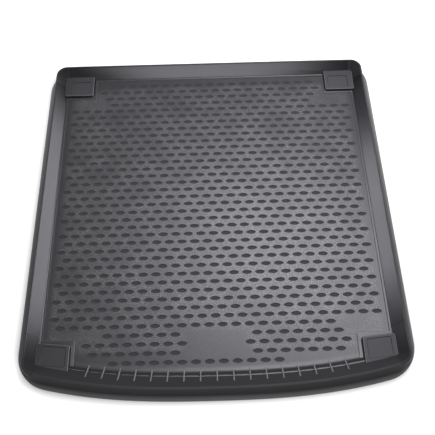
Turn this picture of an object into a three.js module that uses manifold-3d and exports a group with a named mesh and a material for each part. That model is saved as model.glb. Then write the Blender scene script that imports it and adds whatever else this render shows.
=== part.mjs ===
// Car boot liner: one moulded sheet with a patterned floor, a raised rim and four corner pads.
// Millimetres, +X right, +Y towards the seats, +Z up. The origin is the bottom centre.

import * as THREE from 'three';
import { mergeGeometries, mergeVertices } from 'three/addons/utils/BufferGeometryUtils.js';
import Module from 'manifold-3d';

// Overall size of the liner over its foot
const WIDTH = 1112;
const DEPTH = 1196;
const HEIGHT = 42.5;
const SHEET = 3;

// Outline: the front edge bows out, the other edges are straight
const FRONT_BOW = 65;
const BOW_POWER = 2.6;
const FRONT_CORNER = 105;
const BACK_CORNER = 98;
const FRONT_CREST_CORNER = 40;
const BACK_CREST_CORNER = 36;
const LEAST_CORNER = 9;
const BOW_STEPS = 16;
const CORNER_STEPS = 4;

// Rim section, as runs inwards from the foot and heights above the ground
const FOOT_EDGE = 2.2;
const FOOT_FLAT = 3.6;
const FLARE_RUN = 6;
const FLARE_HEIGHT = 4.6;
const SKIRT_RUN = 13;
const SKIRT_HEIGHT = 14;
const DROP_RUN = 19;
const DROP_HEIGHT = 29;
const CREST_RUN = 22;
const CREST_WIDTH = 7;
const CREST_ROUND = 1.6;
const WALL_SLOPE_RUN = 28;
const LEDGE_WIDTH = 6;
const LEDGE_HEIGHT = 2.4;
const LEDGE_STEP = 1.5;

// At the front the floor climbs a ramp to a higher ledge
const FRONT_LEDGE_WIDTH = 3;
const FRONT_LEDGE_HEIGHT = 7;
const FRONT_RAMP = 18;
const FRONT_WALL_RUN = 36;

// Corner pads: each stands on a border as high as the ledge, and has a shallow panel in its top.
// The front pads lean towards the bowed edge, by their skew
const PAD_HEIGHT = 12;
const PAD_RUN = 52;
const PAD_DRAFT = 2.5;
const PAD_ROUND = 6;
const PAD_STEPS = 2;
const BACK_PAD_WIDTH = 99;
const BACK_PAD_DEPTH = 80;
const BACK_PAD_BORDER = 9;
const BACK_PAD_END_BORDER = 9;
const FRONT_PAD_WIDTH = 93;
const FRONT_PAD_DEPTH = 111;
const FRONT_PAD_SKEW = 0.1;
const FRONT_PAD_BORDER = 12;
const FRONT_PAD_END_BORDER = 18;
const PANEL_DEPTH = 1.2;
const PANEL_WIDTH = 70;
const PANEL_SIDE_MARGIN = 10;
const BACK_PANEL_MARGIN = 8;
const BACK_PANEL_LENGTH = 52;
const FRONT_PANEL_MARGIN = 7;
const FRONT_PANEL_LENGTH = 57;
const CAVITY_REACH = 35;

// Ribs between the front of the floor and the front wall
const RIB_COUNT = 17;
const RIB_PITCH = 46;
const RIB_THICKNESS = 4.2;
const RIB_RISE = 22;
const RIB_TOE = 0.6;

// Floor pattern: lens-shaped pits in staggered rows
const PIT_PITCH = 38.8;
const ROW_PITCH = 27;
const PIT_LENGTH = 30;
const PIT_WIDTH = 14;
const PIT_DEPTH = 1.7;
const PIT_OVERCUT = 0.2;
const PIT_EDGE_GAP = 3;
const FIRST_ROW_Y = 510;
const ROWS = 38;
const PATTERN_HALF_COUNT = 12;

// Rows shortened beside the pads: pitches kept left and right of the centre line
const SHORT_ROWS = new Map([
  [0, [9, 9]],
  [1, [9.5, 9.5]],
  [2, [9, 9]],
  [3, [8.5, 8.5]],
  [33, [11.5, 8.5]],
  [34, [8, 9]],
  [35, [9.5, 9.5]],
  [36, [9, 9]],
  [37, [7.5, 4.5]],
]);

// Bare place in the middle of the rows nearest the front
const PLATE_FIRST_ROW = 34;
const PLATE_LAST_ROW = 36;
const PLATE_HALF_PITCHES = 2.4;

const FLOOR_TOP = SHEET;
const HALF_WIDTH = WIDTH / 2;
const HALF_DEPTH = DEPTH / 2;
const CREST_INNER = CREST_RUN + CREST_WIDTH;
const WALL_FOOT = CREST_INNER + WALL_SLOPE_RUN;
const FLOOR_EDGE = WALL_FOOT + LEDGE_WIDTH + LEDGE_STEP;
const FRONT_WALL_FOOT = CREST_INNER + FRONT_WALL_RUN;
const FRONT_LEDGE_EDGE = FRONT_WALL_FOOT + FRONT_LEDGE_WIDTH;
const FRONT_FLOOR_EDGE = FRONT_LEDGE_EDGE + FRONT_RAMP;

const wasm = await Module();
wasm.setup();

// Height of the bowed front edge above its middle, at x
function bow(x) {
  return FRONT_BOW * (Math.abs(x) / HALF_WIDTH) ** BOW_POWER;
}

function bowSlope(x) {
  return Math.sign(x) * FRONT_BOW * BOW_POWER * (Math.abs(x) / HALF_WIDTH) ** (BOW_POWER - 1) / HALF_WIDTH;
}

// Where the round of the front corner leaves the bowed edge
function cornerStart(side, radius) {
  let low = 0;
  let high = side;
  for (let step = 0; step < 40; step += 1) {
    const x = (low + high) / 2;
    const slope = bowSlope(x);
    const centre = x - radius * slope / Math.hypot(1, slope);
    if (centre < side - radius) {
      low = x;
    } else {
      high = x;
    }
  }
  return low;
}

// Radius of a corner at this inset: it falls evenly from the foot to the crest, and then with the inset
function cornerRadius(foot, crest, inset) {
  const share = Math.min(inset / CREST_RUN, 1);
  const beyond = Math.max(inset - CREST_RUN, 0);
  return Math.max(THREE.MathUtils.lerp(foot, crest, share) - beyond, LEAST_CORNER);
}

// One closed outline of the liner, inset from its foot, anticlockwise from the left of the front edge.
// A shift says how far it lies inside the outline whose corners it follows.
function ring(inset, z, frontInset = inset, frontZ = z, shift = 0) {
  const side = HALF_WIDTH - inset;
  const back = HALF_DEPTH - inset;
  const front = frontInset - HALF_DEPTH;
  const frontOuter = cornerRadius(FRONT_CORNER, FRONT_CREST_CORNER, inset - shift);
  const backOuter = cornerRadius(BACK_CORNER, BACK_CREST_CORNER, inset - shift);
  const frontRadius = Math.max(frontOuter - shift, LEAST_CORNER);
  const backRadius = Math.max(backOuter - shift, LEAST_CORNER);
  const start = cornerStart(side, frontRadius);
  const slope = bowSlope(start);
  const turn = Math.atan(slope);
  const centreY = front + bow(start) + frontRadius * Math.cos(turn);
  const points = [];
  for (let i = 0; i <= BOW_STEPS; i += 1) {
    const x = start * (2 * i / BOW_STEPS - 1);
    points.push(new THREE.Vector3(x, front + bow(x), frontZ));
  }
  for (let i = 1; i <= CORNER_STEPS; i += 1) {
    const share = i / CORNER_STEPS;
    const angle = THREE.MathUtils.lerp(turn - Math.PI / 2, 0, share);
    points.push(new THREE.Vector3(
      side - frontRadius + frontRadius * Math.cos(angle),
      centreY + frontRadius * Math.sin(angle),
      THREE.MathUtils.lerp(frontZ, z, share),
    ));
  }
  for (let i = 0; i <= CORNER_STEPS; i += 1) {
    const angle = (i / CORNER_STEPS) * Math.PI / 2;
    points.push(new THREE.Vector3(
      side - backRadius + backRadius * Math.cos(angle),
      back - backRadius + backRadius * Math.sin(angle),
      z,
    ));
  }
  const rightHalf = points.slice(BOW_STEPS + 1);
  for (const point of rightHalf.reverse()) {
    points.push(new THREE.Vector3(-point.x, point.y, point.z));
  }
  return points;
}

// Closed solid through outlines of equal point counts, with flat ends on the first and the last
function loft(rings) {
  const count = rings[0].length;
  const positions = rings.flat().flatMap((point) => [point.x, point.y, point.z]);
  const index = [];
  for (let level = 0; level + 1 < rings.length; level += 1) {
    for (let i = 0; i < count; i += 1) {
      const next = (i + 1) % count;
      const a = level * count + i;
      const b = level * count + next;
      index.push(a, b, b + count, a, b + count, a + count);
    }
  }
  const lastStart = (rings.length - 1) * count;
  const flat = (points) => points.map((point) => new THREE.Vector2(point.x, point.y));
  for (const [a, b, c] of THREE.ShapeUtils.triangulateShape(flat(rings[0]), [])) {
    index.push(a, c, b);
  }
  for (const [a, b, c] of THREE.ShapeUtils.triangulateShape(flat(rings.at(-1)), [])) {
    index.push(lastStart + a, lastStart + b, lastStart + c);
  }
  const geometry = new THREE.BufferGeometry();
  geometry.setAttribute('position', new THREE.Float32BufferAttribute(positions, 3));
  geometry.setIndex(index);
  return geometry;
}

function toSolid(geometry) {
  const bare = geometry.clone();
  bare.deleteAttribute('normal');
  bare.deleteAttribute('uv');
  const merged = mergeVertices(bare, 1e-4);
  return new wasm.Manifold(new wasm.Mesh({
    numProp: 3,
    vertProperties: new Float32Array(merged.attributes.position.array),
    triVerts: new Uint32Array(merged.index.array),
  }));
}

function toGeometry(solid) {
  const mesh = solid.getMesh();
  const geometry = new THREE.BufferGeometry();
  geometry.setAttribute('position', new THREE.Float32BufferAttribute(mesh.vertProperties, 3));
  geometry.setIndex(new THREE.Uint32BufferAttribute(mesh.triVerts, 1));
  geometry.computeVertexNormals();
  return geometry;
}

// Top face of the rim from the foot to the floor, as points of run and height
function rimSection(wallFoot, ledgeWidth, ledgeHeight, ledgeRun) {
  const ledgeTop = FLOOR_TOP + ledgeHeight;
  return [
    [0, FOOT_EDGE],
    [FLARE_RUN, FLARE_HEIGHT],
    [SKIRT_RUN, SKIRT_HEIGHT],
    [DROP_RUN, DROP_HEIGHT],
    [CREST_RUN, HEIGHT - CREST_ROUND],
    [CREST_RUN + CREST_ROUND, HEIGHT],
    [CREST_INNER - CREST_ROUND, HEIGHT],
    [CREST_INNER, HEIGHT - CREST_ROUND],
    [wallFoot, ledgeTop],
    [wallFoot + ledgeWidth, ledgeTop],
    [wallFoot + ledgeWidth + ledgeRun, FLOOR_TOP],
  ];
}

// The same section a sheet's thickness lower, without its end at the foot
function underside(section) {
  const normals = section.slice(1).map(([run, height], i) => {
    const along = new THREE.Vector2(run - section[i][0], height - section[i][1]).normalize();
    return new THREE.Vector2(along.y, -along.x);
  });
  normals.push(new THREE.Vector2(0, -1));
  return section.slice(1).map(([run, height], i) => {
    const mitre = normals[i].clone().add(normals[i + 1]);
    mitre.multiplyScalar(SHEET / (1 + normals[i].dot(normals[i + 1])));
    return [run + mitre.x, height + mitre.y];
  });
}

const sideSection = rimSection(WALL_FOOT, LEDGE_WIDTH, LEDGE_HEIGHT, LEDGE_STEP);
const frontSection = rimSection(FRONT_WALL_FOOT, FRONT_LEDGE_WIDTH, FRONT_LEDGE_HEIGHT, FRONT_RAMP);

function sectionRings(side, front, followed = side) {
  return side.map(([run, height], i) => (
    ring(run, height, front[i][0], front[i][1], run - followed[i][0])
  ));
}

function makeTray() {
  const above = sectionRings(sideSection, frontSection);
  const below = sectionRings(underside(sideSection), underside(frontSection), sideSection.slice(1));
  const foot = [ring(FOOT_FLAT, 0, FOOT_FLAT, 0, FOOT_FLAT), ring(0, 0)];
  return toSolid(loft([...below.reverse(), ...foot, ...above]));
}

// Room inside the tray up to the crest, reaching to the middle of the wall's sheet
function makeBasin() {
  const wall = [-2, -3, -4].map((place) => [sideSection.at(place), frontSection.at(place)]);
  const levels = wall.map(([side, front]) => (
    ring(side[0] - SHEET / 2, side[1], front[0] - SHEET / 2, front[1])
  ));
  const [side, front] = wall[0];
  const base = ring(side[0] - SHEET / 2, -SHEET, front[0] - SHEET / 2, -SHEET);
  return toSolid(loft([base, ...levels]));
}

// Block with drafted sides and rounded upright edges, between two opposite corners, then sheared
function draftedBlock(from, to, bottom, top, draft, shear = new THREE.Matrix4()) {
  const outline = (grow, z) => {
    const shape = new THREE.Shape();
    const left = Math.min(from.x, to.x) - grow;
    const right = Math.max(from.x, to.x) + grow;
    const near = Math.min(from.y, to.y) - grow;
    const far = Math.max(from.y, to.y) + grow;
    shape.absarc(right - PAD_ROUND, far - PAD_ROUND, PAD_ROUND, 0, Math.PI / 2);
    shape.absarc(left + PAD_ROUND, far - PAD_ROUND, PAD_ROUND, Math.PI / 2, Math.PI);
    shape.absarc(left + PAD_ROUND, near + PAD_ROUND, PAD_ROUND, Math.PI, Math.PI * 1.5);
    shape.absarc(right - PAD_ROUND, near + PAD_ROUND, PAD_ROUND, Math.PI * 1.5, Math.PI * 2);
    return shape.extractPoints(PAD_STEPS).shape.map((point) => new THREE.Vector3(point.x, point.y, z));
  };
  return toSolid(loft([outline(draft, bottom), outline(0, top)]).applyMatrix4(shear));
}

// For each pad: its direction from the middle, the inner corner of its top face, an outer corner
// whose side lies off the side wall and whose end lies inside the end wall, and its lean
function padPlaces() {
  const back = {
    y: 1,
    width: BACK_PAD_WIDTH,
    length: BACK_PAD_DEPTH,
    skew: 0,
    border: BACK_PAD_BORDER,
    endBorder: BACK_PAD_END_BORDER,
    panelMargin: BACK_PANEL_MARGIN,
    panelLength: BACK_PANEL_LENGTH,
  };
  const front = {
    y: -1,
    width: FRONT_PAD_WIDTH,
    length: FRONT_PAD_DEPTH,
    skew: FRONT_PAD_SKEW,
    border: FRONT_PAD_BORDER,
    endBorder: FRONT_PAD_END_BORDER,
    panelMargin: FRONT_PANEL_MARGIN,
    panelLength: FRONT_PANEL_LENGTH,
  };
  return [back, front].flatMap((end) => [-1, 1].map((x) => {
    const outer = new THREE.Vector2(x * (HALF_WIDTH - PAD_RUN), end.y * (HALF_DEPTH - CREST_INNER));
    const innerX = x * (HALF_WIDTH - PAD_RUN - end.width);
    const innerY = end.y * (HALF_DEPTH - PAD_RUN - end.length);
    const lean = new THREE.Matrix4().makeShear(x * end.skew, 0, 0, 0, 0, 0);
    lean.setPosition(0, -x * end.skew * innerX, 0);
    return { ...end, x, inner: new THREE.Vector2(innerX, innerY), outer, lean };
  }));
}

function addPads(tray) {
  const basin = makeBasin();
  const top = FLOOR_TOP + PAD_HEIGHT;
  const ledgeTop = FLOOR_TOP + LEDGE_HEIGHT;
  const rimRoom = toSolid(loft([
    ring(CAVITY_REACH, -SHEET),
    ring(CAVITY_REACH, top - SHEET),
  ]));
  let solid = tray;
  for (const pad of padPlaces()) {
    const outwards = new THREE.Vector2(pad.x, pad.y);
    const along = (start, x, y) => start.clone().add(new THREE.Vector2(x, y).multiply(outwards));
    const borderStart = along(pad.inner, -pad.border, -pad.endBorder);
    const borderEnd = along(pad.outer, PAD_RUN - CREST_INNER, 0);
    const border = draftedBlock(borderStart, borderEnd, SHEET / 2, ledgeTop, LEDGE_STEP);
    const block = draftedBlock(pad.inner, pad.outer, SHEET / 2, top, PAD_DRAFT, pad.lean);
    const cavityStart = along(pad.inner, SHEET, SHEET);
    const cavityEnd = along(pad.outer, -SHEET, SHEET);
    const cavity = draftedBlock(cavityStart, cavityEnd, -SHEET, top - SHEET, PAD_DRAFT, pad.lean);
    const panelStart = along(pad.inner, PANEL_SIDE_MARGIN, pad.panelMargin);
    const panelEnd = along(panelStart, PANEL_WIDTH, pad.panelLength);
    const panelTop = top + PANEL_DEPTH;
    const panel = draftedBlock(panelStart, panelEnd, top - PANEL_DEPTH, panelTop, -PANEL_DEPTH / 2, pad.lean);
    solid = solid.add(border.add(block).intersect(basin));
    solid = solid.subtract(cavity.intersect(rimRoom));
    solid = solid.subtract(panel);
  }
  return solid;
}

// Gusset plate square to the front edge, from the floor up the front wall
function makeRib(x) {
  const top = FLOOR_TOP + RIB_RISE;
  const wallRise = HEIGHT - CREST_ROUND - FLOOR_TOP - FRONT_LEDGE_HEIGHT;
  const share = (RIB_RISE - FRONT_LEDGE_HEIGHT) / wallRise;
  const topRun = THREE.MathUtils.lerp(FRONT_WALL_FOOT, CREST_INNER, share);
  const sunk = SHEET / 2;
  const plate = new THREE.Shape([
    new THREE.Vector2(FRONT_FLOOR_EDGE + RIB_TOE, FLOOR_TOP - sunk),
    new THREE.Vector2(FRONT_FLOOR_EDGE + RIB_TOE, FLOOR_TOP + RIB_TOE),
    new THREE.Vector2(topRun, top),
    new THREE.Vector2(topRun, top - sunk),
    new THREE.Vector2(FRONT_WALL_FOOT, FLOOR_TOP + FRONT_LEDGE_HEIGHT - sunk),
    new THREE.Vector2(FRONT_LEDGE_EDGE, FLOOR_TOP + FRONT_LEDGE_HEIGHT - sunk),
  ]);
  const geometry = new THREE.ExtrudeGeometry(plate, { depth: RIB_THICKNESS, bevelEnabled: false });
  geometry.translate(0, 0, -RIB_THICKNESS / 2);
  geometry.rotateX(Math.PI / 2);
  geometry.rotateZ(Math.PI / 2 + Math.atan(bowSlope(x)));
  geometry.translate(x, bow(x) - HALF_DEPTH, 0);
  return toSolid(geometry);
}

// Whether a pit at this place keeps clear of the floor's edge and of the pads' borders
function pitFits(x, y) {
  const end = Math.abs(x) + PIT_LENGTH / 2;
  const frontEdge = FRONT_FLOOR_EDGE - HALF_DEPTH + PIT_EDGE_GAP;
  const inWidth = end + PIT_EDGE_GAP <= HALF_WIDTH - FLOOR_EDGE;
  const inBack = y + PIT_WIDTH / 2 + PIT_EDGE_GAP <= HALF_DEPTH - FLOOR_EDGE;
  const inFront = y - PIT_WIDTH / 2 >= frontEdge + bow(x) && y >= frontEdge + bow(end);
  const clear = padPlaces().every((pad) => {
    const reach = LEDGE_STEP + PIT_EDGE_GAP;
    const besides = pad.x * (x - pad.inner.x) + PIT_LENGTH / 2 + pad.border + reach <= 0;
    const before = pad.y * (y - pad.inner.y) + PIT_WIDTH / 2 + pad.endBorder + reach <= 0;
    return besides || before;
  });
  return inWidth && inBack && inFront && clear;
}

function pitPlaces() {
  const places = [];
  for (let row = 0; row < ROWS; row += 1) {
    const half = PATTERN_HALF_COUNT - (row % 2) / 2;
    const [left, right] = SHORT_ROWS.get(row) ?? [half, half];
    const plateRow = row >= PLATE_FIRST_ROW && row <= PLATE_LAST_ROW;
    const y = FIRST_ROW_Y - row * ROW_PITCH;
    for (let place = -left; place <= right; place += 1) {
      const x = place * PIT_PITCH;
      const onPlate = plateRow && Math.abs(place) <= PLATE_HALF_PITCHES;
      if (!onPlate && pitFits(x, y)) {
        places.push([x, y]);
      }
    }
  }
  return places;
}

function makePits() {
  const grow = (PIT_DEPTH + PIT_OVERCUT) / PIT_DEPTH;
  const pit = new THREE.ConeGeometry(1, PIT_DEPTH + PIT_OVERCUT, 4);
  pit.rotateX(-Math.PI / 2);
  pit.scale(grow * PIT_LENGTH / 2, grow * PIT_WIDTH / 2, 1);
  pit.translate(0, 0, FLOOR_TOP + PIT_OVERCUT - (PIT_DEPTH + PIT_OVERCUT) / 2);
  const pits = pitPlaces().map(([x, y]) => pit.clone().translate(x, y, 0));
  return toSolid(mergeGeometries(pits));
}

function makeLiner() {
  let solid = addPads(makeTray());
  for (let i = 0; i < RIB_COUNT; i += 1) {
    solid = solid.add(makeRib((i - (RIB_COUNT - 1) / 2) * RIB_PITCH));
  }
  return solid.subtract(makePits());
}

const rubber = new THREE.MeshStandardMaterial({ color: 0x4b4b4e, roughness: 0.55, metalness: 0 });
const liner = new THREE.Mesh(toGeometry(makeLiner()), rubber);
liner.name = 'boot_liner';

const group = new THREE.Group();
group.add(liner);

export default group;
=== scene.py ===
import math

import bmesh
import bpy
from mathutils import Matrix, Vector


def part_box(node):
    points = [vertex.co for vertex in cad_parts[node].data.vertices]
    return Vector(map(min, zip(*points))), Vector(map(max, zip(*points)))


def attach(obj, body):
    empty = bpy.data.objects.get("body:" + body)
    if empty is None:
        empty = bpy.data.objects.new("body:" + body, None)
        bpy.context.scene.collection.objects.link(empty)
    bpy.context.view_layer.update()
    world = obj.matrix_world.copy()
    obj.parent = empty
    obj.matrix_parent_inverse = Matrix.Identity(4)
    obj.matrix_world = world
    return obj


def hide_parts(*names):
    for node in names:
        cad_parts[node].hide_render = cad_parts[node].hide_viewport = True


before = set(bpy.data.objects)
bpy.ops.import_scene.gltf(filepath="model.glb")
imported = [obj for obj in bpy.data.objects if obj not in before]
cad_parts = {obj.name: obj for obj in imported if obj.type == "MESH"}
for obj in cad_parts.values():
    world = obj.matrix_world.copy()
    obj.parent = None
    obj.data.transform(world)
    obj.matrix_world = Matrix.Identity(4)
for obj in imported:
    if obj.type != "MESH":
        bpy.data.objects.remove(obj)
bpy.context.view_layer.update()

MM = 0.001
NODE = "boot_liner"

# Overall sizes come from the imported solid, in millimetres
liner_low, liner_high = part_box(NODE)
WIDTH = (liner_high[0] - liner_low[0]) / MM
DEPTH = (liner_high[1] - liner_low[1]) / MM
HEIGHT = (liner_high[2] - liner_low[2]) / MM
HALF_WIDTH = WIDTH / 2
HALF_DEPTH = DEPTH / 2
SHEET = 3.0

# Outline
FRONT_BOW = 65.0
BOW_POWER = 2.6
FRONT_CORNER = 105.0
BACK_CORNER = 98.0
FRONT_CREST_CORNER = 40.0
BACK_CREST_CORNER = 36.0
LEAST_CORNER = 9.0
BOW_STEPS = 56
BISECTIONS = 40
CORNER_STEPS = 12
SIDE_STEPS = 14

# Rim section, as runs inwards from the foot and heights above the ground
FOOT_EDGE = 2.2
FOOT_FLAT = 3.6
FLARE_RUN = 6.0
FLARE_HEIGHT = 4.6
SKIRT_RUN = 13.0
SKIRT_HEIGHT = 14.0
DROP_RUN = 19.0
DROP_HEIGHT = 29.0
CREST_RUN = 22.0
CREST_WIDTH = 7.0
CREST_ROUND = 1.6
WALL_SLOPE_RUN = 28.0
LEDGE_WIDTH = 6.0
LEDGE_HEIGHT = 2.4
LEDGE_STEP = 1.5
FRONT_LEDGE_WIDTH = 3.0
FRONT_LEDGE_HEIGHT = 7.0
FRONT_RAMP = 18.0
FRONT_WALL_RUN = 36.0
FILLET_STEPS = 4
FILLET_SHARE = 0.45
RAMP_REACH = 30.0
RAMP_POWER = 2.6
RAMP_STEPS = 8

FLOOR_TOP = SHEET
CREST_INNER = CREST_RUN + CREST_WIDTH
WALL_FOOT = CREST_INNER + WALL_SLOPE_RUN
FLOOR_EDGE = WALL_FOOT + LEDGE_WIDTH + LEDGE_STEP
FRONT_WALL_FOOT = CREST_INNER + FRONT_WALL_RUN
FRONT_LEDGE_EDGE = FRONT_WALL_FOOT + FRONT_LEDGE_WIDTH
FRONT_FLOOR_EDGE = FRONT_LEDGE_EDGE + FRONT_RAMP
FILLET_SINK = 0.1

# Reaches of the curves at the section's corners, from the flare inwards to the floor
SIDE_FILLETS = (4.0, 6.0, 7.0, 3.0, 1.0, 1.0, 3.0, 3.0, 0.8)
FRONT_FILLETS = (4.0, 6.0, 7.0, 3.0, 1.0, 1.0, 3.0, 1.0, 1.0)

# Corner pads, each on a border as high as the ledge, with a shallow panel in its top.
# The front pads lean towards the bowed edge, by their skew
PAD_HEIGHT = 12.0
PAD_RUN = 52.0
PAD_DRAFT = 2.5
PAD_ROUND = 6.0
PAD_EDGE = 1.4
PAD_FOOT = 1.6
PAD_STEPS = 5
BORDER_EDGE = 0.8
BACK_PAD_WIDTH = 99.0
BACK_PAD_DEPTH = 80.0
BACK_PAD_BORDER = 9.0
BACK_PAD_END_BORDER = 9.0
FRONT_PAD_WIDTH = 93.0
FRONT_PAD_DEPTH = 111.0
FRONT_PAD_SKEW = 0.1
FRONT_PAD_BORDER = 12.0
FRONT_PAD_END_BORDER = 18.0
PANEL_DEPTH = 1.2
PANEL_WIDTH = 70.0
PANEL_SIDE_MARGIN = 10.0
BACK_PANEL_MARGIN = 8.0
BACK_PANEL_LENGTH = 52.0
FRONT_PANEL_MARGIN = 7.0
FRONT_PANEL_LENGTH = 57.0
CAVITY_REACH = 35.0

# Ribs
RIB_COUNT = 17
RIB_PITCH = 46.0
RIB_THICKNESS = 4.2
RIB_RISE = 22.0
RIB_TOE = 0.6
RIB_STATIONS = 7
RIB_ROUND_STEPS = 6
RIB_TOP_SHARE = (RIB_RISE - FRONT_LEDGE_HEIGHT) / (HEIGHT - CREST_ROUND - FLOOR_TOP - FRONT_LEDGE_HEIGHT)
RIB_TOP_RUN = FRONT_WALL_FOOT - RIB_TOP_SHARE * FRONT_WALL_RUN
RIB_TOE_RUN = FRONT_FLOOR_EDGE + RIB_TOE

# Floor pattern
PIT_PITCH = 38.8
ROW_PITCH = 27.0
PIT_LENGTH = 30.0
PIT_WIDTH = 14.0
PIT_DEPTH = 1.7
PIT_OVERCUT = 0.3
PIT_POINTS = 20
PIT_POWER = 1.22
# Size share and depth share of the outlines that shape one pit
PIT_LEVELS = ((1.0, 0.0), (0.93, 0.45), (0.8, 0.85), (0.5, 1.0))
FIRST_ROW_Y = 510.0
ROWS = 38
PATTERN_HALF_COUNT = 12
SHORT_ROWS = {
    0: (9, 9),
    1: (9.5, 9.5),
    2: (9, 9),
    3: (8.5, 8.5),
    33: (11.5, 8.5),
    34: (8, 9),
    35: (9.5, 9.5),
    36: (9, 9),
    37: (7.5, 4.5),
}
PLATE_ROWS = (34, 35, 36)
PLATE_HALF_PITCHES = 2.4
PLATE_Y = FIRST_ROW_Y - PLATE_ROWS[1] * ROW_PITCH

# Camera, in metres
CAMERA_PLACE = Vector((0.005, -1.044, 1.793))
CAMERA_TARGET = Vector((0.014, -0.028, 0.0))
CAMERA_ROLL = math.radians(-1.17)
CAMERA_LENS = 54.45
CAMERA_SENSOR = 36.0

# Names of what is stored on the faces
BEND = "outward_bend"
OUTSIDE = "outside"
LEVEL = "level"
MATTE_SHADE = "matte_painted_shade"
# How matte the front wall and the crest are, and how far painted shade darkens them, where 1 is wholly
# matte and dark
FRONT_WALL_MATTE_SHADE = 0.85
CREST_MATTE_SHADE = 0.8
# Area in square metres below which a face's bend isn't counted in full
LEAST_AREA = 1e-7
SHARP_ANGLE = math.radians(32)

# Sockets of a mix node that carry colours
MIX_COLOUR_INPUTS = (6, 7)
MIX_COLOUR_OUTPUT = 2

# Colours and roughness
WALL_COLOUR = (0.024, 0.0235, 0.028)
# Painted shade: near black outside the crest, and the darkening of the front wall, crest, ramp and corners
PAINTED_SHADE_COLOUR = (0.003, 0.003, 0.0035)
# Painted light: the outside turns lighter towards the foot, as if lit from the floor
FOOT_PAINTED_LIGHT_COLOUR = (0.150, 0.149, 0.152)
FLOOR_COLOUR = (0.038, 0.0375, 0.0425)
# Painted shade in the pits
PIT_SHADE_COLOUR = (0.031, 0.0305, 0.034)
PAD_COLOUR = (0.030, 0.0295, 0.034)
SPECK_COLOUR = (0.330, 0.327, 0.345)
# Painted highlight on raised edges
EDGE_HIGHLIGHT_COLOUR = (0.200, 0.198, 0.212)
SPECULAR_LEVEL = 0.7
SPECULAR_TINT = (0.95, 0.94, 1.0)
WALL_ROUGHNESS = 0.24
FLOOR_ROUGHNESS = 0.38
PAD_ROUGHNESS = 0.62
MATTE_ROUGHNESS = 0.85

# Heights above the floor between which the surface changes
NEAR_FLOOR = (0.5, 1.2)
BELOW_PADS = (3.0, 4.0)
BELOW_FLOOR = (-0.05, -0.35)
ABOVE_FLOOR = (0.05, 3.0)
# The same above the pads' tops
UP_TO_PAD_TOP = (-3.0, -2.0)
PAST_PAD_TOP = (1.0, 2.0)
# Upward part of a face's direction, from tilted to level
LEVEL_SPAN = (0.9, 0.99)
# Places across and along the liner between which its corners turn matte and take painted shade, and then
# the spans over which a wider painted shade grows
CORNER_SIDE = (488.0, 500.0)
CORNER_FRONT = (-370.0, -480.0)
CORNER_BACK = (490.0, 545.0)
SHADE_ACROSS = (260.0, 450.0)
SHADE_ALONG = (440.0, 560.0)

# Fine grain, inside the pattern and outside it, with margins around the pattern and the plate
PATTERN_CENTRE = (0.0, 22.0)
PATTERN_HALF = (468.0, 470.0)
PATTERN_SOFT = 14.0
PLATE_MARGIN = 14.0
PLATE_HALF_ROWS = 1.1
PLATE_SOFT = 22.0
PLAIN_GRAIN = 0.22
PLAIN_BUMP = 0.08
GRAIN_BUMP = 0.5
BUMP_DEPTH = 0.25

# Sizes of the noises, and the spans of them that show
SPECKLE_SIZE = 1.7
GRAIN_SIZE = 0.8
PATCH_SIZE = 90.0
CLOUD_SIZE = 160.0
NOISE_DETAIL = 2
CLOUD_DETAIL = 3
SPECK_SPAN = (0.50, 0.72)
PATCH_SPAN = (0.35, 0.65)
LEAST_PATCH = 0.35
CLOUD_COLOUR = 0.08
CLOUD_ROUGHNESS = 0.03

# Painted highlight on edges that bend outwards, weaker near the crest
HIGHLIGHT_BEND = (90.0, 320.0)
HIGHLIGHT_SPAN = (0.30, 0.62)
LEAST_HIGHLIGHT = 0.45
CREST_REACH = (-5.0, -3.0)
CREST_HIGHLIGHT = 0.15

# White floor, which glows more away from the liner: its dimmer glow near the liner is a painted shadow
STAGE_SIZE = 30000.0
STAGE_DROP = 0.5
STAGE_ALBEDO = 0.85
STAGE_CORNER = 100.0
NEAR_GLOW = 0.12
FAR_GLOW = 0.8
GLOW_REACH = 42.0

# Lamps by place, target and size, in metres, and by level, where 1 is white
LAMPS = {
    "overhead": ((0.56, 0.51, 1.75), (0.46, 0.25, 0), (1.7, 1.08), 5.2),
    "overhead_core": ((0.30, 0.84, 1.70), (0.17, 0.02, 0), (0.80, 0.66), 3.4),
    "front": ((0, -1.25, 1.0), (0, 0.5, 0), (1.07, 0.5), 4.1),
    "low_right": ((1.25, 0.93, 0.32), (-0.5, 0, 0.03), (1.32, 0.55), 4.0),
    "low_left": ((-1.25, 0.90, 0.32), (0.5, 0, 0.03), (0.92, 0.55), 4.1),
}
WORLD_LEVEL = 0.07


def bow(x):
    """Height of the bowed front edge above its middle."""
    return FRONT_BOW * (abs(x) / HALF_WIDTH) ** BOW_POWER


def bow_slope(x):
    steep = FRONT_BOW * BOW_POWER * (abs(x) / HALF_WIDTH) ** (BOW_POWER - 1) / HALF_WIDTH
    return math.copysign(steep, x)


def corner_start(side, radius):
    """Where the round of the front corner leaves the bowed edge."""
    low = 0.0
    high = side
    for _ in range(BISECTIONS):
        x = (low + high) / 2
        slope = bow_slope(x)
        if x - radius * slope / math.hypot(1, slope) < side - radius:
            low = x
        else:
            high = x
    return low


def blend(a, b, share):
    return a + (b - a) * share


def corner_radius(foot, crest, inset):
    """Radius of a corner: it falls evenly from the foot to the crest, and then with the inset."""
    share = min(inset / CREST_RUN, 1)
    beyond = max(inset - CREST_RUN, 0)
    return max(blend(foot, crest, share) - beyond, LEAST_CORNER)


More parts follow.
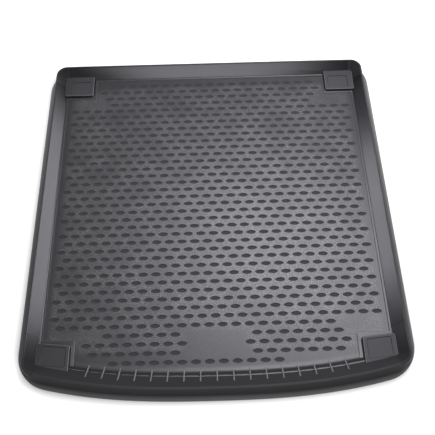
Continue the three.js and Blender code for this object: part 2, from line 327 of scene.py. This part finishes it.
def ring(inset, z, front_inset=None, front_z=None, shift=0):
    """One closed outline of the liner, inset from its foot.

    A shift says how far it lies inside the outline whose corners it follows.
    """
    front_inset = inset if front_inset is None else front_inset
    front_z = z if front_z is None else front_z
    side = HALF_WIDTH - inset
    back = HALF_DEPTH - inset
    front = front_inset - HALF_DEPTH
    front_outer = corner_radius(FRONT_CORNER, FRONT_CREST_CORNER, inset - shift)
    back_outer = corner_radius(BACK_CORNER, BACK_CREST_CORNER, inset - shift)
    front_radius = max(front_outer - shift, LEAST_CORNER)
    back_radius = max(back_outer - shift, LEAST_CORNER)
    start = corner_start(side, front_radius)
    turn = math.atan(bow_slope(start))
    centre_y = front + bow(start) + front_radius * math.cos(turn)
    edge = []
    for i in range(BOW_STEPS + 1):
        x = start * (2 * i / BOW_STEPS - 1)
        edge.append(Vector((x, front + bow(x), front_z)))
    right = []
    for i in range(1, CORNER_STEPS + 1):
        share = i / CORNER_STEPS
        angle = blend(turn - math.pi / 2, 0, share)
        x = side - front_radius + front_radius * math.cos(angle)
        right.append(Vector((x, centre_y + front_radius * math.sin(angle), blend(front_z, z, share))))
    for i in range(1, SIDE_STEPS):
        share = (1 - math.cos(math.pi * i / SIDE_STEPS)) / 2
        right.append(Vector((side, blend(centre_y, back - back_radius, share), z)))
    for i in range(CORNER_STEPS + 1):
        angle = i / CORNER_STEPS * math.pi / 2
        x = side - back_radius + back_radius * math.cos(angle)
        right.append(Vector((x, back - back_radius + back_radius * math.sin(angle), z)))
    left = [Vector((-p.x, p.y, p.z)) for p in reversed(right)]
    return edge + right + left


def make_object(name, vertices, faces):
    mesh = bpy.data.meshes.new(name)
    mesh.from_pydata([Vector(v) * MM for v in vertices], [], faces)
    mesh.update()
    piece = bpy.data.objects.new(name, mesh)
    bpy.context.scene.collection.objects.link(piece)
    return piece


def loft(name, rings):
    """Closed solid through outlines of equal point counts, with flat ends."""
    count = len(rings[0])
    vertices = [p for outline in rings for p in outline]
    faces = []
    for level in range(len(rings) - 1):
        for i in range(count):
            a = level * count + i
            b = level * count + (i + 1) % count
            faces.append((a, b, b + count, a + count))
    last = (len(rings) - 1) * count
    faces.append(tuple(reversed(range(count))))
    faces.append(tuple(range(last, last + count)))
    return make_object(name, vertices, faces)


def combine(base, tool, operation):
    """Joins or cuts base with tool, and removes tool."""
    modifier = base.modifiers.new(operation, "BOOLEAN")
    modifier.operation = operation
    modifier.solver = "MANIFOLD"
    modifier.object = tool
    depsgraph = bpy.context.evaluated_depsgraph_get()
    made = bpy.data.meshes.new_from_object(base.evaluated_get(depsgraph))
    base.modifiers.clear()
    base.data = made
    bpy.data.objects.remove(tool)
    return base


def rim_section(wall_foot, ledge_width, ledge_height, ledge_run):
    """Top face of the rim from the foot to the floor, as points of run and height."""
    ledge_top = FLOOR_TOP + ledge_height
    return [
        (0, FOOT_EDGE),
        (FLARE_RUN, FLARE_HEIGHT),
        (SKIRT_RUN, SKIRT_HEIGHT),
        (DROP_RUN, DROP_HEIGHT),
        (CREST_RUN, HEIGHT - CREST_ROUND),
        (CREST_RUN + CREST_ROUND, HEIGHT),
        (CREST_INNER - CREST_ROUND, HEIGHT),
        (CREST_INNER, HEIGHT - CREST_ROUND),
        (wall_foot, ledge_top),
        (wall_foot + ledge_width, ledge_top),
        (wall_foot + ledge_width + ledge_run, FLOOR_TOP),
    ]


def underside(section):
    """The same section a sheet's thickness lower, without its end at the foot."""
    normals = []
    for (run, height), (next_run, next_height) in zip(section, section[1:]):
        along = Vector((next_run - run, next_height - height)).normalized()
        normals.append(Vector((along.y, -along.x)))
    normals.append(Vector((0, -1)))
    points = []
    for i, (run, height) in enumerate(section[1:]):
        mitre = normals[i] + normals[i + 1]
        mitre *= SHEET / (1 + normals[i].dot(normals[i + 1]))
        points.append((run + mitre.x, height + mitre.y))
    return points


def rounded(section, radii):
    """The section with its first inner corners replaced by curves of these reaches."""
    points = [section[0]]
    for i in range(1, len(radii) + 1):
        here = Vector(section[i])
        before = Vector(section[i - 1])
        after = Vector(section[i + 1])
        shorter = min((before - here).length, (after - here).length)
        reach = min(radii[i - 1], shorter * FILLET_SHARE)
        start = here + (before - here).normalized() * reach
        end = here + (after - here).normalized() * reach
        for step in range(FILLET_STEPS + 1):
            share = step / FILLET_STEPS
            point = start.lerp(here, share).lerp(here.lerp(end, share), share)
            points.append((point.x, point.y))
    return points + section[len(radii) + 1:]


side_section = rim_section(WALL_FOOT, LEDGE_WIDTH, LEDGE_HEIGHT, LEDGE_STEP)
front_section = rim_section(FRONT_WALL_FOOT, FRONT_LEDGE_WIDTH, FRONT_LEDGE_HEIGHT, FRONT_RAMP)


def section_rings(side, front, followed=None):
    followed = side if followed is None else followed
    rings = []
    for (run, height), front_point, (followed_run, _) in zip(side, front, followed):
        rings.append(ring(run, height, *front_point, run - followed_run))
    return rings


def make_tray():
    shares = [i / RAMP_STEPS for i in range(1, RAMP_STEPS + 1)]
    step = [(FLOOR_EDGE - LEDGE_STEP * (1 - s), FLOOR_TOP + LEDGE_HEIGHT * (1 - s)) for s in shares]
    ramp = []
    for share in shares:
        height = FLOOR_TOP + FRONT_LEDGE_HEIGHT * (1 - share) ** RAMP_POWER
        ramp.append((FRONT_LEDGE_EDGE + RAMP_REACH * share, height))
    side = rounded(side_section[:-1] + step, SIDE_FILLETS)
    front = rounded(front_section[:-1] + ramp, FRONT_FILLETS)
    above = section_rings(side, front)
    below = section_rings(underside(side_section), underside(front_section), side_section[1:])
    foot = [ring(FOOT_FLAT, 0, shift=FOOT_FLAT), ring(0, 0)]
    return loft(NODE + "_skin", below[::-1] + foot + above)


def make_basin():
    """Room inside the tray up to the crest, reaching to the middle of the wall's sheet."""
    # Counted from the floor outwards: the ledge's edge, the wall's foot and the crest's inner edge
    levels = [(side_section[-place], front_section[-place]) for place in (2, 3, 4)]
    rings = [ring(s[0] - SHEET / 2, s[1], f[0] - SHEET / 2, f[1]) for s, f in levels]
    side, front = levels[0]
    base = ring(side[0] - SHEET / 2, -SHEET, front[0] - SHEET / 2, -SHEET)
    return loft("basin", [base] + rings)


def rounded_box(a, b, grow, z):
    """Outline between two opposite corners, grown all round, with round corners."""
    left = min(a.x, b.x) - grow
    right = max(a.x, b.x) + grow
    near = min(a.y, b.y) - grow
    far = max(a.y, b.y) + grow
    radius = PAD_ROUND + grow
    corners = ((right, far), (left, far), (left, near), (right, near))
    points = []
    for quarter, (x, y) in enumerate(corners):
        centre_x = x - math.copysign(radius, x - (left + right) / 2)
        centre_y = y - math.copysign(radius, y - (near + far) / 2)
        for step in range(PAD_STEPS + 1):
            angle = (quarter + step / PAD_STEPS) * math.pi / 2
            turned = radius * Vector((math.cos(angle), math.sin(angle)))
            points.append(Vector((centre_x + turned.x, centre_y + turned.y, z)))
    return points


def block(name, a, b, levels, lean=None):
    made = loft(name, [rounded_box(a, b, grow, z) for grow, z in levels])
    if lean is not None:
        made.data.transform(lean)
    return made


def lean_matrix(skew, x):
    """Shear of Y along X that leaves the line at x where it is."""
    lean = Matrix.Identity(4)
    lean[1][0] = skew
    lean[1][3] = -skew * x * MM
    return lean


def raised_levels(base, top, draft, foot, edge):
    """Levels of a raised block: a hollow fillet at its base, the draft, and a round top edge."""
    levels = [(draft + foot, base - SHEET / 2)]
    for step in range(FILLET_STEPS + 1):
        angle = step / FILLET_STEPS * math.pi / 2
        grow = draft + foot * (1 - math.sin(angle))
        levels.append((grow, base + foot * (1 - math.cos(angle)) - FILLET_SINK))
    for step in range(FILLET_STEPS + 1):
        angle = step / FILLET_STEPS * math.pi / 2
        levels.append((edge * (math.cos(angle) - 1), top - edge * (1 - math.sin(angle))))
    return levels


BACK_PAD = {
    "y": 1,
    "width": BACK_PAD_WIDTH,
    "length": BACK_PAD_DEPTH,
    "skew": 0.0,
    "border": BACK_PAD_BORDER,
    "end_border": BACK_PAD_END_BORDER,
    "panel_margin": BACK_PANEL_MARGIN,
    "panel_length": BACK_PANEL_LENGTH,
}
FRONT_PAD = {
    "y": -1,
    "width": FRONT_PAD_WIDTH,
    "length": FRONT_PAD_DEPTH,
    "skew": FRONT_PAD_SKEW,
    "border": FRONT_PAD_BORDER,
    "end_border": FRONT_PAD_END_BORDER,
    "panel_margin": FRONT_PANEL_MARGIN,
    "panel_length": FRONT_PANEL_LENGTH,
}


def add_pad(tray, end, outwards):
    """Joins one corner pad to the tray, with its border, and cuts its hollow and its panel."""
    top = FLOOR_TOP + PAD_HEIGHT
    ledge_top = FLOOR_TOP + LEDGE_HEIGHT
    side = HALF_WIDTH - PAD_RUN
    inner = outwards * Vector((side - end["width"], HALF_DEPTH - PAD_RUN - end["length"]))
    outer = outwards * Vector((side, HALF_DEPTH - CREST_INNER))
    lean = lean_matrix(outwards.x * end["skew"], inner.x)

    def along(start, x, y):
        return start + outwards * Vector((x, y))

    border_levels = raised_levels(FLOOR_TOP, ledge_top, LEDGE_STEP / 2, LEDGE_STEP / 2, BORDER_EDGE)
    border_start = along(inner, -end["border"], -end["end_border"])
    border = block("border", border_start, along(outer, PAD_RUN - CREST_INNER, 0), border_levels)
    pad = block("pad", inner, outer, raised_levels(ledge_top, top, PAD_DRAFT, PAD_FOOT, PAD_EDGE), lean)
    pad = combine(combine(border, pad, "UNION"), make_basin(), "INTERSECT")
    tray = combine(tray, pad, "UNION")
    cavity_levels = [(PAD_DRAFT, -SHEET), (0, top - SHEET)]
    cavity_stop = along(outer, -SHEET, SHEET)
    cavity = block("cavity", along(inner, SHEET, SHEET), cavity_stop, cavity_levels, lean)
    room = loft("room", [ring(CAVITY_REACH, -SHEET * 2), ring(CAVITY_REACH, top)])
    tray = combine(tray, combine(cavity, room, "INTERSECT"), "DIFFERENCE")
    start = along(inner, PANEL_SIDE_MARGIN, end["panel_margin"])
    stop = along(start, PANEL_WIDTH, end["panel_length"])
    panel_levels = [(-PANEL_DEPTH, top - PANEL_DEPTH), (0, top), (PANEL_DEPTH, top + PANEL_DEPTH)]
    return combine(tray, block("panel", start, stop, panel_levels, lean), "DIFFERENCE")


def add_pads(tray):
    for end in (BACK_PAD, FRONT_PAD):
        for x in (-1, 1):
            tray = add_pad(tray, end, Vector((x, end["y"])))
    return tray


def rib_height(run):
    """Height of a rib's top above the ground at a run from the foot."""
    return FLOOR_TOP + blend(RIB_TOE, RIB_RISE, (RIB_TOE_RUN - run) / (RIB_TOE_RUN - RIB_TOP_RUN))


def front_sheet_top(run):
    """Height of the top face along the front section."""
    points = front_section[::-1]
    for (far_run, far_height), (near_run, near_height) in zip(points, points[1:]):
        if near_run <= run <= far_run:
            return blend(far_height, near_height, (far_run - run) / (far_run - near_run))
    return FLOOR_TOP


def make_rib(x):
    """Gusset with a round top, square to the front edge."""
    half = RIB_THICKNESS / 2
    stations = []
    for i in range(RIB_STATIONS + 1):
        run = blend(RIB_TOE_RUN, RIB_TOP_RUN, i / RIB_STATIONS)
        low = front_sheet_top(run) - SHEET / 2
        top = max(rib_height(run) - half, low + RIB_TOE / 2)
        outline = [Vector((-half, run, low))]
        for step in range(RIB_ROUND_STEPS + 1):
            angle = math.pi * (1 - step / RIB_ROUND_STEPS)
            outline.append(Vector((half * math.cos(angle), run, top + half * math.sin(angle))))
        outline.append(Vector((half, run, low)))
        stations.append(outline)
    rib = loft("rib", stations)
    turn = Matrix.Rotation(math.atan(bow_slope(x)), 4, "Z")
    place = Matrix.Translation(Vector((x, bow(x) - HALF_DEPTH, 0)) * MM)
    rib.data.transform(place @ turn)
    make_outward(rib.data)
    return rib


def make_outward(mesh):
    shape = bmesh.new()
    shape.from_mesh(mesh)
    bmesh.ops.recalc_face_normals(shape, faces=shape.faces)
    shape.to_mesh(mesh)
    shape.free()


def pit_places():
    places = []
    for row in range(ROWS):
        half = PATTERN_HALF_COUNT - (row % 2) / 2
        left, right = SHORT_ROWS.get(row, (half, half))
        for i in range(round(left + right) + 1):
            place = i - left
            if row not in PLATE_ROWS or abs(place) > PLATE_HALF_PITCHES:
                places.append((place * PIT_PITCH, FIRST_ROW_Y - row * ROW_PITCH))
    return places


def lens_outline(x, y, length, width, z):
    """Pointed oval with slightly blunt ends."""
    points = []
    for i in range(PIT_POINTS):
        angle = 2 * math.pi * i / PIT_POINTS
        c = math.cos(angle)
        s = math.sin(angle)
        across = math.copysign(abs(s) ** PIT_POWER, s)
        points.append(Vector((x + length / 2 * c, y + width / 2 * across, z)))
    return points


def make_pits():
    over_length = PIT_LENGTH + 2 * PIT_OVERCUT
    over_width = PIT_WIDTH + 2 * PIT_OVERCUT
    vertices = []
    faces = []
    for x, y in pit_places():
        start = len(vertices)
        vertices.extend(lens_outline(x, y, over_length, over_width, FLOOR_TOP + PIT_OVERCUT))
        for size, depth in PIT_LEVELS:
            z = FLOOR_TOP - PIT_DEPTH * depth
            vertices.extend(lens_outline(x, y, PIT_LENGTH * size, PIT_WIDTH * size, z))
        for level in range(len(PIT_LEVELS)):
            for i in range(PIT_POINTS):
                a = start + level * PIT_POINTS + i
                b = start + level * PIT_POINTS + (i + 1) % PIT_POINTS
                faces.append((b, a, a + PIT_POINTS, b + PIT_POINTS))
        last = start + len(PIT_LEVELS) * PIT_POINTS
        faces.append(tuple(range(start, start + PIT_POINTS)))
        faces.append(tuple(reversed(range(last, last + PIT_POINTS))))
    return make_object("pits", vertices, faces)


def make_liner():
    liner = add_pads(make_tray())
    for i in range(RIB_COUNT):
        liner = combine(liner, make_rib((i - (RIB_COUNT - 1) / 2) * RIB_PITCH), "UNION")
    liner = combine(liner, make_pits(), "DIFFERENCE")
    mesh = liner.data
    mesh.polygons.foreach_set("use_smooth", [True] * len(mesh.polygons))
    mesh.set_sharp_from_angle(angle=SHARP_ANGLE)
    mark_faces(mesh)
    return liner


def run_at(x, y):
    """Run inwards from the foot of the nearest edge."""
    return min(HALF_WIDTH - abs(x), HALF_DEPTH - y, y + HALF_DEPTH - bow(x))


def matte_and_painted_shade(x, y, z):
    """How matte a face is and how far painted shade darkens it: wholly on the front ramp, partly on the
    crest and the front wall.
    """
    run = run_at(x, y)
    if run < CREST_RUN:
        return 0.0
    if run < CREST_INNER - CREST_ROUND:
        return CREST_MATTE_SHADE
    front_run = y + HALF_DEPTH - bow(x)
    if front_run < FRONT_WALL_FOOT and front_run < HALF_WIDTH - abs(x):
        return FRONT_WALL_MATTE_SHADE
    on_ramp = front_run < FRONT_LEDGE_EDGE + RAMP_REACH and z < FLOOR_TOP + FRONT_LEDGE_HEIGHT
    return 1.0 if on_ramp else 0.0


def mark_faces(mesh):
    """Stores what the material needs to know of each face.

    The bend is how tightly a face bends outwards, per metre, for the painted highlight on raised edges.
    The outside is 1 on the faces outside the crest, and the level is 1 on faces that look straight up.
    """
    shape = bmesh.new()
    shape.from_mesh(mesh)
    values = {name: [] for name in (BEND, OUTSIDE, LEVEL, MATTE_SHADE)}
    for face in shape.faces:
        x, y, z = face.calc_center_median() / MM
        turned = sum(edge.calc_face_angle_signed(0) * edge.calc_length() for edge in face.edges)
        values[BEND].append(turned / 2 / max(face.calc_area(), LEAST_AREA))
        values[OUTSIDE].append(1.0 if run_at(x, y) < CREST_RUN else 0.0)
        values[LEVEL].append(max(face.normal.z, 0))
        values[MATTE_SHADE].append(matte_and_painted_shade(x, y, z))
    shape.free()
    for name, numbers in values.items():
        mesh.attributes.new(name, "FLOAT", "FACE").data.foreach_set("value", numbers)


def link(tree, output, target):
    tree.links.new(output, target)


def math_node(tree, operation, first, second=None, clamp=False):
    node = tree.nodes.new("ShaderNodeMath")
    node.operation = operation
    node.use_clamp = clamp
    for place, value in enumerate((first, second)):
        if value is None:
            continue
        if isinstance(value, (int, float)):
            node.inputs[place].default_value = value
        else:
            link(tree, value, node.inputs[place])
    return node.outputs[0]


def noise_node(tree, place, size, detail):
    node = tree.nodes.new("ShaderNodeTexNoise")
    node.inputs["Scale"].default_value = 1 / (size * MM)
    node.inputs["Detail"].default_value = detail
    link(tree, place, node.inputs["Vector"])
    return node.outputs["Fac"]


def range_node(tree, value, low, high, to_low, to_high):
    node = tree.nodes.new("ShaderNodeMapRange")
    link(tree, value, node.inputs["Value"])
    for name, number in (("From Min", low), ("From Max", high), ("To Min", to_low), ("To Max", to_high)):
        node.inputs[name].default_value = number
    return node.outputs["Result"]


def mix_node(tree, share, a, b):
    node = tree.nodes.new("ShaderNodeMix")
    node.data_type = "RGBA"
    link(tree, share, node.inputs["Factor"])
    for value, place in zip((a, b), MIX_COLOUR_INPUTS):
        socket = node.inputs[place]
        if isinstance(value, tuple):
            socket.default_value = (*value, 1)
        else:
            link(tree, value, socket)
    return node.outputs[MIX_COLOUR_OUTPUT]


def face_value(tree, name):
    node = tree.nodes.new("ShaderNodeAttribute")
    node.attribute_name = name
    return node.outputs["Fac"]


def times(tree, *values):
    product = values[0]
    for value in values[1:]:
        product = math_node(tree, "MULTIPLY", product, value)
    return product


def box_mask(tree, place, centre, half, soft):
    """1 inside a rectangle on the floor, falling to 0 over a soft margin outside it."""
    mask = None
    for value, middle, reach in zip(place, centre, half):
        off = math_node(tree, "ABSOLUTE", math_node(tree, "SUBTRACT", value, middle * MM))
        side = range_node(tree, off, reach * MM, (reach + soft) * MM, 1, 0)
        mask = side if mask is None else times(tree, mask, side)
    return mask


def rise(tree, value, span, base=0):
    """0 to 1 over a span of millimetres above a base."""
    return range_node(tree, value, (base + span[0]) * MM, (base + span[1]) * MM, 0, 1)


def fall(tree, value, span, base=0):
    """1 to 0 over a span of millimetres above a base."""
    return range_node(tree, value, (base + span[0]) * MM, (base + span[1]) * MM, 1, 0)


def inverse(tree, mask):
    return range_node(tree, mask, 0, 1, 1, 0)


def largest(tree, *values):
    most = values[0]
    for value in values[1:]:
        most = math_node(tree, "MAXIMUM", most, value)
    return most


def surface_masks(tree, place):
    """Where each kind of surface is, as masks from 0 to 1."""
    split = tree.nodes.new("ShaderNodeSeparateXYZ")
    link(tree, place, split.inputs["Vector"])
    flat = (split.outputs["X"], split.outputs["Y"])
    off_centre = [math_node(tree, "ABSOLUTE", value) for value in flat]
    height = split.outputs["Z"]
    outside = face_value(tree, OUTSIDE)
    inside = inverse(tree, outside)
    level = range_node(tree, face_value(tree, LEVEL), *LEVEL_SPAN, 0, 1)
    near_floor = fall(tree, height, NEAR_FLOOR, FLOOR_TOP)
    below_pads = fall(tree, height, BELOW_PADS, FLOOR_TOP)
    above_floor = rise(tree, height, ABOVE_FLOOR, FLOOR_TOP)
    in_pit = times(tree, rise(tree, height, BELOW_FLOOR, FLOOR_TOP), inside)
    pad_top = rise(tree, height, UP_TO_PAD_TOP, FLOOR_TOP + PAD_HEIGHT)
    on_pad = times(tree, pad_top, fall(tree, height, PAST_PAD_TOP, FLOOR_TOP + PAD_HEIGHT), level)

    ends = largest(tree, rise(tree, flat[1], CORNER_FRONT), rise(tree, flat[1], CORNER_BACK))
    # Corners near the walls: matte, with painted shade
    corner = times(tree, rise(tree, off_centre[0], CORNER_SIDE), ends, above_floor, inside)
    # Matte faces darkened with painted shade: front wall, crest, ramp and corners
    matte_painted_shade = largest(tree, times(tree, face_value(tree, MATTE_SHADE), above_floor), corner)
    # Painted shade growing towards the corners
    shade = times(tree, rise(tree, off_centre[0], SHADE_ACROSS), rise(tree, off_centre[1], SHADE_ALONG))

    pattern = box_mask(tree, flat, PATTERN_CENTRE, PATTERN_HALF, PATTERN_SOFT)
    plate_half = (PLATE_HALF_PITCHES * PIT_PITCH - PLATE_MARGIN, ROW_PITCH * PLATE_HALF_ROWS)
    plate = box_mask(tree, flat, (0, PLATE_Y), plate_half, PLATE_SOFT)
    pattern = math_node(tree, "SUBTRACT", pattern, plate, True)
    even = times(tree, math_node(tree, "SUBTRACT", near_floor, in_pit, True), inside)
    return {
        "outside": outside,
        # Share of painted light on the outside, growing towards the foot
        "foot": range_node(tree, height, FOOT_EDGE * MM, SKIRT_HEIGHT * MM, 1, 0),
        "floor": times(tree, largest(tree, near_floor, times(tree, below_pads, level)), inside),
        "off_floor": inverse(tree, near_floor),
        "pit": in_pit,
        "pad": on_pad,
        "matte_painted_shade": times(tree, matte_painted_shade, inverse(tree, on_pad)),
        "shade": shade,
        "grain": times(tree, even, range_node(tree, pattern, 0, 1, PLAIN_GRAIN, 1)),
        "crest": range_node(tree, height, *((HEIGHT + reach) * MM for reach in CREST_REACH), 1, CREST_HIGHLIGHT),
    }


def add_colour(tree, shader, masks, speckle, patches, cloud):
    patchy = range_node(tree, patches, *PATCH_SPAN, LEAST_PATCH, 1)
    specks = times(tree, range_node(tree, speckle, *SPECK_SPAN, 0, 1), patchy, masks["grain"])
    shades = (1 - CLOUD_COLOUR, 1 + CLOUD_COLOUR)
    darker, lighter = (tuple(part * shade for part in WALL_COLOUR) for shade in shades)
    colour = mix_node(tree, cloud, darker, lighter)
    # Painted shade towards the corners
    colour = mix_node(tree, masks["shade"], colour, PAINTED_SHADE_COLOUR)
    # Painted shade under the crest, turning into painted light towards the foot
    outside_light_and_shade = mix_node(tree, masks["foot"], PAINTED_SHADE_COLOUR, FOOT_PAINTED_LIGHT_COLOUR)
    colour = mix_node(tree, masks["outside"], colour, outside_light_and_shade)
    colour = mix_node(tree, masks["pad"], colour, PAD_COLOUR)
    colour = mix_node(tree, masks["floor"], colour, mix_node(tree, specks, FLOOR_COLOUR, SPECK_COLOUR))
    # Pits darkened with painted shade
    colour = mix_node(tree, masks["pit"], colour, PIT_SHADE_COLOUR)
    # Painted shade on the matte front wall, crest, ramp and corners
    colour = mix_node(tree, masks["matte_painted_shade"], colour, PAINTED_SHADE_COLOUR)
    # Painted highlight on edges that bend outwards, broken up by the speckle
    bent = range_node(tree, face_value(tree, BEND), *HIGHLIGHT_BEND, 0, 1)
    highlight_breakup = range_node(tree, speckle, *HIGHLIGHT_SPAN, LEAST_HIGHLIGHT, 1)
    painted_edge_highlight = times(tree, bent, masks["off_floor"], masks["crest"], highlight_breakup)
    link(tree, mix_node(tree, painted_edge_highlight, colour, EDGE_HIGHLIGHT_COLOUR), shader.inputs["Base Color"])


def add_roughness(tree, shader, masks, cloud):
    matte = largest(tree, masks["pit"], masks["outside"], masks["matte_painted_shade"])
    rough = range_node(tree, masks["floor"], 0, 1, WALL_ROUGHNESS, FLOOR_ROUGHNESS)
    rough = largest(tree, rough, range_node(tree, masks["pad"], 0, 1, 0, PAD_ROUGHNESS))
    uneven = range_node(tree, cloud, 0, 1, -CLOUD_ROUGHNESS, CLOUD_ROUGHNESS)
    rough = math_node(tree, "ADD", rough, uneven)
    rough = largest(tree, rough, range_node(tree, matte, 0, 1, 0, MATTE_ROUGHNESS))
    link(tree, rough, shader.inputs["Roughness"])


def add_bump(tree, shader, masks, speckle, grain):
    bump = tree.nodes.new("ShaderNodeBump")
    bump.inputs["Distance"].default_value = BUMP_DEPTH * MM
    strength = range_node(tree, masks["grain"], 0, 1, PLAIN_BUMP, GRAIN_BUMP)
    link(tree, strength, bump.inputs["Strength"])
    link(tree, math_node(tree, "ADD", grain, speckle), bump.inputs["Height"])
    link(tree, bump.outputs["Normal"], shader.inputs["Normal"])


def liner_material():
    material = bpy.data.materials.new("liner_rubber_look")
    material.use_nodes = True
    tree = material.node_tree
    shader = tree.nodes["Principled BSDF"]
    place = tree.nodes.new("ShaderNodeTexCoord").outputs["Object"]
    masks = surface_masks(tree, place)
    speckle = noise_node(tree, place, SPECKLE_SIZE, NOISE_DETAIL)
    grain = noise_node(tree, place, GRAIN_SIZE, NOISE_DETAIL)
    patches = noise_node(tree, place, PATCH_SIZE, NOISE_DETAIL)
    cloud = noise_node(tree, place, CLOUD_SIZE, CLOUD_DETAIL)
    add_colour(tree, shader, masks, speckle, patches, cloud)
    add_roughness(tree, shader, masks, cloud)
    add_bump(tree, shader, masks, speckle, grain)
    shader.inputs["Specular IOR Level"].default_value = SPECULAR_LEVEL
    shader.inputs["Specular Tint"].default_value = (*SPECULAR_TINT, 1)
    return material


def glow_with_painted_shadow(tree):
    """Glow of the floor, which grows with the distance from the liner's outline, so that its dimmer glow
    near the liner is a painted shadow.
    """
    split = tree.nodes.new("ShaderNodeSeparateXYZ")
    link(tree, tree.nodes.new("ShaderNodeNewGeometry").outputs["Position"], split.inputs["Vector"])
    across = math_node(tree, "ABSOLUTE", split.outputs["X"])
    along = split.outputs["Y"]
    bowed = math_node(tree, "POWER", math_node(tree, "DIVIDE", across, HALF_WIDTH * MM), BOW_POWER)
    bowed = times(tree, bowed, FRONT_BOW * MM)
    along = largest(tree, along, math_node(tree, "SUBTRACT", bowed, along))
    squares = []
    for value, half in ((across, HALF_WIDTH), (along, HALF_DEPTH)):
        beyond = math_node(tree, "SUBTRACT", value, (half - STAGE_CORNER) * MM)
        beyond = largest(tree, beyond, 0)
        squares.append(times(tree, beyond, beyond))
    away = math_node(tree, "SQRT", math_node(tree, "ADD", *squares))
    stop = (STAGE_CORNER + GLOW_REACH) * MM
    return range_node(tree, away, STAGE_CORNER * MM, stop, NEAR_GLOW, FAR_GLOW)


def make_stage():
    """White floor: seen and mirrored it also glows, so that it is white away from the shadow, and dimmer
    near the liner as a painted shadow.
    """
    bpy.ops.mesh.primitive_plane_add(size=STAGE_SIZE * MM, location=(0, 0, -STAGE_DROP * MM))
    floor = bpy.context.object
    floor.name = "stage_floor"
    material = bpy.data.materials.new("stage_white")
    material.use_nodes = True
    tree = material.node_tree
    shader = tree.nodes["Principled BSDF"]
    shader.inputs["Base Color"].default_value = (STAGE_ALBEDO, STAGE_ALBEDO, STAGE_ALBEDO, 1)
    shader.inputs["Roughness"].default_value = 1.0
    shader.inputs["Specular IOR Level"].default_value = 0.0
    shader.inputs["Emission Color"].default_value = (1, 1, 1, 1)
    path = tree.nodes.new("ShaderNodeLightPath").outputs
    seen = math_node(tree, "ADD", path["Is Camera Ray"], path["Is Glossy Ray"], True)
    seen = math_node(tree, "ADD", seen, path["Is Transmission Ray"], True)
    link(tree, times(tree, seen, glow_with_painted_shadow(tree)), shader.inputs["Emission Strength"])
    floor.data.materials.append(material)


def softbox(name, place, target, size, level):
    """Rectangular lamp whose face has the given level, where 1 is white."""
    light = bpy.data.lights.new(name, "AREA")
    light.shape = "RECTANGLE"
    light.size, light.size_y = size
    light.energy = level * math.pi * size[0] * size[1]
    lamp = bpy.data.objects.new(name, light)
    bpy.context.scene.collection.objects.link(lamp)
    lamp.location = place
    lamp.rotation_euler = (Vector(target) - Vector(place)).to_track_quat("-Z", "Y").to_euler()
    lamp.visible_camera = False


def make_lights():
    for name, (place, target, size, level) in LAMPS.items():
        softbox(name, place, target, size, level)
    world = bpy.data.worlds.new("studio")
    world.use_nodes = True
    background = world.node_tree.nodes["Background"]
    background.inputs["Color"].default_value = (1, 1, 1, 1)
    background.inputs["Strength"].default_value = WORLD_LEVEL
    bpy.context.scene.world = world


def make_camera():
    data = bpy.data.cameras.new("camera")
    data.lens = CAMERA_LENS
    data.sensor_width = CAMERA_SENSOR
    camera = bpy.data.objects.new("camera", data)
    bpy.context.scene.collection.objects.link(camera)
    aim = (CAMERA_TARGET - CAMERA_PLACE).to_track_quat("-Z", "Y").to_matrix().to_4x4()
    camera.matrix_world = Matrix.Translation(CAMERA_PLACE) @ aim @ Matrix.Rotation(CAMERA_ROLL, 4, "Z")
    bpy.context.scene.camera = camera


liner = make_liner()
liner.data.materials.clear()
liner.data.materials.append(liner_material())
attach(liner, "root")
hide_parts(NODE)
make_stage()
make_lights()
make_camera()
bpy.context.scene.view_settings.view_transform = "Standard"

bpy.context.view_layer.update()
